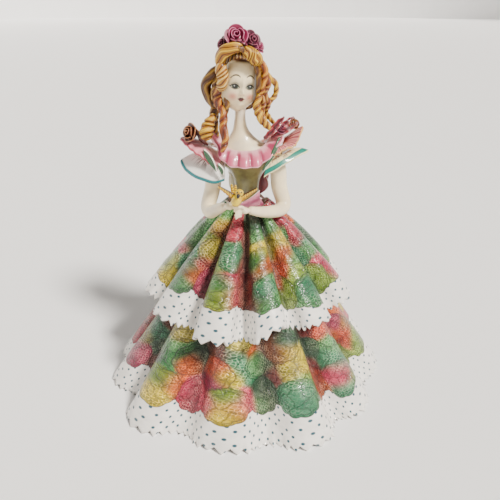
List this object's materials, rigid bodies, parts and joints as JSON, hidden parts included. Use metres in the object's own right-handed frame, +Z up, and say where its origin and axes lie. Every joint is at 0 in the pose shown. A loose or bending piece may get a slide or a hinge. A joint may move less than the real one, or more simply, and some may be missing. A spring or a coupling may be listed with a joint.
{
  "type": "ceramic lady figurine",
  "caption": "Glazed ceramic figurine of a lady with ringlets and roses, a small bird in the hands and a two-tiered lace crinoline, hollow and open underneath",
  "frame": {"origin": "on the table, under the middle of the lower hem", "axes": "+Z up through the head, the face and hands towards -Y, +X to the right of someone who looks at the face"},
  "size_m": [0.2686, 0.2685, 0.3192],
  "materials": {
    "ivory_glaze": "gloss",
    "lace_glaze": "gloss",
    "hem_glaze": "gloss",
    "hair_glaze": "gloss",
    "pink_glaze": "gloss",
    "olive_glaze": "gloss",
    "teal_glaze": "gloss",
    "rose_glaze": "gloss",
    "bird_glaze": "gloss",
    "bare_clay": "matte"
  },
  "bodies": {
    "root": {"figurine": "ivory_glaze"}
  },
  "joints": []
}
